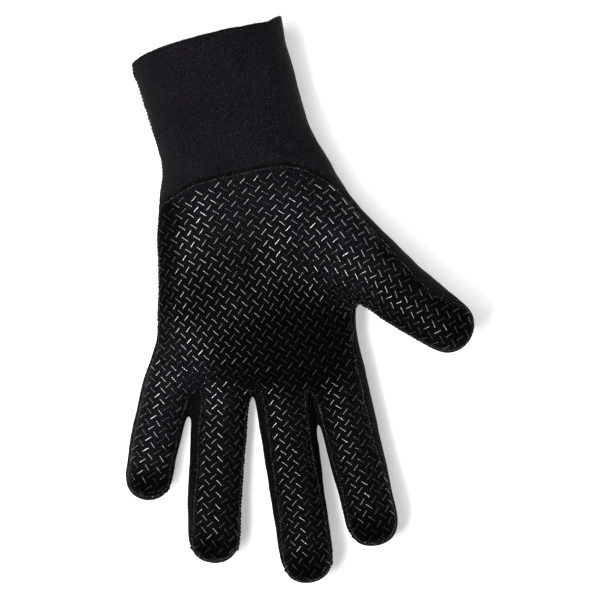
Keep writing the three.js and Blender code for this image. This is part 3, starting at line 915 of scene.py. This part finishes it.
class GLOVE_OT_grip(bpy.types.Operator):
    """Print the raised rubber dashes on the gripping side"""

    bl_idname = "glove.grip"
    bl_label = "Grip dashes"

    def execute(self, context):
        grip = context.scene.glove_grip
        cloth = Cloth(workshop["skin"], grip)
        random.seed(7)
        cell = np.array([grip.cell_across, grip.cell_along])
        first = np.floor(cloth.flat.min(axis=0) / cell).astype(int)
        last = np.ceil(cloth.flat.max(axis=0) / cell).astype(int)
        points, faces = [], []
        for column in range(first[0], last[0] + 1):
            for row in range(first[1], last[1] + 1):
                for half, lean in ((0.0, -1), (0.5, 1)):
                    middle = (np.array([column, row]) + half) * cell
                    self.print_dash(grip, cloth, middle, lean, points, faces)
        if not points:
            raise RuntimeError("no dash found a place on the palm")
        rubber = rubber_finish(context.scene.glove_colours.rubber)
        new_piece("grip_dashes", points, faces, rubber, "grip_palm")
        return {"FINISHED"}

    def print_dash(self, grip, cloth, middle, lean, points, faces):
        """One low rib with a flat top and rounded ends, bent to the skin under it."""
        slant = grip.slant + either_way(0.04)
        height = grip.dash_height * random.uniform(0.9, 1.1)
        run = np.array([math.cos(slant), lean * math.sin(slant)]) * grip.dash_length / 2
        stations = [cloth.lift(middle + run * reach) for reach, _ in DASH_PROFILE]
        if any(station is None or station[2] < grip.seam_margin for station in stations):
            return
        places = np.array([station[0] for station in stations])
        whole = places[-1] - places[0]
        steps = np.linalg.norm(np.diff(places, axis=0), axis=1)
        stretch = steps / (np.diff([reach for reach, _ in DASH_PROFILE]) * grip.dash_length / 2)
        if stretch.min() < DASH_STRETCH[0] or stretch.max() > DASH_STRETCH[1]:
            return
        start = len(points)
        for (place, normal, _), (_, swell) in zip(stations, DASH_PROFILE):
            normal = normal / np.linalg.norm(normal)
            aside = np.cross(normal, whole)
            aside /= np.linalg.norm(aside)
            for out, up in DASH_SECTION:
                rise = up * height * swell - DASH_ROOT
                points.append(place + aside * out * swell * grip.dash_width / 2 + normal * rise)
        faces.extend([[start + corner for corner in face] for face in DASH_FACES])


class GLOVE_OT_seams(bpy.types.Operator):
    """Sew the seams: a low ridge, overlocked loops over it and cover stitches beside it"""

    bl_idname = "glove.seams"
    bl_label = "Overlocked seams"

    def execute(self, context):
        sizes = context.scene.glove_seams
        colours = context.scene.glove_colours
        skin = workshop["skin"]
        outer = skin.outside[skin.faces].all(axis=1)
        surface = BVHTree.FromPolygons(skin.points.tolist(), skin.faces[outer].tolist())
        self.panels = skin.panel[outer]
        random.seed(11)
        ridges, loops, rows = ([], []), ([], []), ([], [])
        for line in workshop["seams"]:
            self.lay_ridge(surface, spaced(line, sizes.stitch_pitch / 4), sizes, *ridges)
            self.sew_loops(surface, spaced(line, sizes.stitch_pitch), sizes, *loops)
            self.sew_rows(surface, spaced(line, sizes.band_pitch), sizes, *rows)
        jersey = jersey_finish("seam_jersey", colours.strips, FINE_TWILL)
        new_piece("seam_ridges", *ridges, jersey, SLOTS[BACK])
        thread = thread_finish("loop_thread", lighter(colours.thread, 0.12), 0.04)
        new_piece("seam_stitches", *loops, thread, SLOTS[BACK])
        thread = thread_finish("cover_thread", colours.thread, 0.2)
        new_piece("cover_stitches", *rows, thread, SLOTS[BACK])
        return {"FINISHED"}

    def seats(self, surface, line):
        """The line's points on the skin, each with the normal, the line's run and the way across."""
        for number, point in enumerate(line):
            place, normal, _, _ = surface.find_nearest(Vector(point))
            run = Vector(line[min(number + 1, len(line) - 1)] - line[max(number - 1, 0)])
            run = (run - normal * run.dot(normal)).normalized()
            yield number, place, normal, run, normal.cross(run)

    def bulk(self, place, sizes):
        """How much thicker the ridge is at a place, for the tack near the cuff's rim."""
        from_tack = (np.array(place) - MOUTH_CENTRE) @ MOUTH_AXIS + TACK_PLACE * sizes.tack_reach
        return sizes.tack_bulk * math.exp(-((from_tack / sizes.tack_reach) ** 2))

    def lay_ridge(self, surface, line, sizes, points, faces):
        """The doubled edge under the thread, nipped in at each stitch."""
        start = len(points)
        for number, place, normal, _, aside in self.seats(surface, line):
            swell = RIDGE_SWELL[number % len(RIDGE_SWELL)] * random.uniform(0.85, 1.15)
            swell += self.bulk(place, sizes)
            for angle in RIDGE_ARC:
                out = aside * math.cos(angle) * sizes.welt_width / 2 * swell
                up = normal * (math.sin(angle) * sizes.welt_height * swell - RIDGE_FOOT)
                points.append(place + out + up)
        for number in range(len(line) - 1):
            for step in range(len(RIDGE_ARC) - 1):
                a = start + number * len(RIDGE_ARC) + step
                faces.append([a, a + len(RIDGE_ARC), a + len(RIDGE_ARC) + 1, a + 1])

    def sew_loops(self, surface, line, sizes, points, faces):
        """Short loops of thread across the ridge, each a little off the last."""
        for _, place, normal, run, aside in self.seats(surface, line):
            lean = math.radians(LOOP_LEAN + either_way(LOOP_LEAN_SPREAD))
            over = aside * math.cos(lean) + run * math.sin(lean)
            reach = sizes.stitch_length / 2 * random.uniform(0.75, 1.15)
            slip = run * either_way(LOOP_SLIP[0]) + aside * either_way(LOOP_SLIP[1])
            path = []
            for station in LOOP_STATIONS:
                rise = sizes.welt_height * math.sqrt(1 - (0.95 * station) ** 2) + LOOP_RISE
                path.append(place + slip + over * station * reach + normal * rise)
            strand(path, normal, sizes.thread * random.uniform(1.0, 1.6), points, faces)

    def sew_rows(self, surface, line, sizes, points, faces):
        """The cover thread on the gripping side: an even row by the ridge, then ragged loops."""
        for number, place, normal, run, aside in self.seats(surface, line):
            beside = [place + aside * side * sizes.welt_width * 1.2 for side in (1, -1)]
            near = [surface.find_nearest(point)[2] for point in beside]
            grips = [self.panels[face] == PANELS.index(PALM) for face in near]
            if grips[0] == grips[1]:
                continue
            side = 1 if grips[0] else -1
            even = number % EVEN_EVERY == 0
            if even:
                off, along, half = sizes.welt_width * EVEN_PLACE, run + aside * 0.25 * side, EVEN_HALF
            else:
                reach = sizes.band_width * (WRIST_REACH if place.y > WRIST_SEAM else 1)
                off = sizes.welt_width * 0.75 + reach * random.random() ** 1.4
                along = run * either_way(1) + aside * either_way(1)
                half = random.uniform(0.18, 0.42) * MM
            place, normal, _, _ = surface.find_nearest(place + aside * side * off)
            half = along.normalized() * half
            ends = [place - half - normal * COVER_ROOT, place + half - normal * COVER_ROOT]
            path = [ends[0], place + normal * COVER_RISE, ends[1]]
            radius = 0.85 if even else random.uniform(0.45, 0.8)
            strand(path, normal, sizes.thread * radius, points, faces)


def strand(path, normal, radius, points, faces, sides=5):
    """A short thread of round section along a path, closed at both ends."""
    start = len(points)
    for number, middle in enumerate(path):
        run = (path[min(number + 1, len(path) - 1)] - path[max(number - 1, 0)]).normalized()
        side = run.cross(normal).normalized()
        up = side.cross(run)
        full = radius * (0.5 if number in (0, len(path) - 1) else 1)
        for corner in range(sides):
            angle = 2 * math.pi * corner / sides
            points.append(middle + (side * math.cos(angle) + up * math.sin(angle)) * full)
    for step in range(len(path) - 1):
        for corner in range(sides):
            a, b = start + step * sides + corner, start + step * sides + (corner + 1) % sides
            faces.append([a, a + sides, b + sides, b])
    faces.append([start + corner for corner in range(sides)])
    faces.append([start + (len(path) - 1) * sides + corner for corner in range(sides)][::-1])


class GLOVE_OT_stage(bpy.types.Operator):
    """Lay out the pale floor, the soft light and the camera straight above the palm"""

    bl_idname = "glove.stage"
    bl_label = "Floor, light and camera"

    def execute(self, context):
        stage = context.scene.glove_stage
        self.floor(context)
        self.lights(context, stage)
        self.camera(context, stage)
        context.scene.view_settings.view_transform = "Standard"
        return {"FINISHED"}

    def floor(self, context):
        half, height = 3.0, -0.1 * MM
        square = [(-half, -half), (half, -half), (half, half), (-half, half)]
        mesh = bpy.data.meshes.new("floor")
        mesh.from_pydata([(x, y, height) for x, y in square], [], [(0, 1, 2, 3)])
        mesh.materials.append(floor_finish(context.scene.glove_colours.floor))
        floor = placed("floor", mesh)

    def lights(self, context, stage):
        world = bpy.data.worlds.new("studio")
        world.use_nodes = True
        background = world.node_tree.nodes["Background"].inputs
        background["Color"].default_value = (1, 1, 1, 1)
        background["Strength"].default_value = stage.sky
        context.scene.world = world
        for name, place, sides, share in LAMPS:
            light = bpy.data.lights.new(name, "AREA")
            light.shape = "RECTANGLE"
            light.size, light.size_y = sides
            light.energy = stage.key * share
            lamp = placed(name, light)
            lamp.location = place
            lamp.visible_camera = False
            lamp.rotation_euler = (-Vector(place)).to_track_quat("-Z", "Y").to_euler()

    def camera(self, context, stage):
        lens = bpy.data.cameras.new("camera")
        lens.lens = stage.lens
        lens.sensor_width = 36
        lens.clip_end = 20
        away = stage.view_width * stage.lens / lens.sensor_width
        camera = placed("camera", lens)
        camera.location = (stage.aim_x, stage.aim_y, stage.view_height + away)
        context.scene.camera = camera


OPERATORS = [GLOVE_OT_skin, GLOVE_OT_grip, GLOVE_OT_seams, GLOVE_OT_stage]


class GLOVE_PT_panel(bpy.types.Panel):
    """The glove's sizes and the steps that build it"""

    bl_idname = "GLOVE_PT_panel"
    bl_label = "Diving glove"
    bl_space_type = "VIEW_3D"
    bl_region_type = "UI"
    bl_category = "Glove"

    def draw(self, context):
        for key, group in SETTINGS.items():
            box = self.layout.box()
            box.label(text=key.replace("_", " ").capitalize())
            for name in group.__annotations__:
                box.prop(getattr(context.scene, key), name)
        for operator in OPERATORS:
            self.layout.operator(operator.bl_idname)


CLASSES = [*SETTINGS.values(), *OPERATORS, GLOVE_PT_panel]


def register():
    for cls in CLASSES:
        bpy.utils.register_class(cls)
    for key, group in SETTINGS.items():
        setattr(bpy.types.Scene, key, bpy.props.PointerProperty(type=group))


def unregister():
    for key in SETTINGS:
        delattr(bpy.types.Scene, key)
    for cls in reversed(CLASSES):
        bpy.utils.unregister_class(cls)


def main():
    register()
    bpy.ops.glove.stage()
    bpy.ops.glove.skin()
    bpy.ops.glove.grip()
    bpy.ops.glove.seams()


if __name__ == "__main__":
    main()
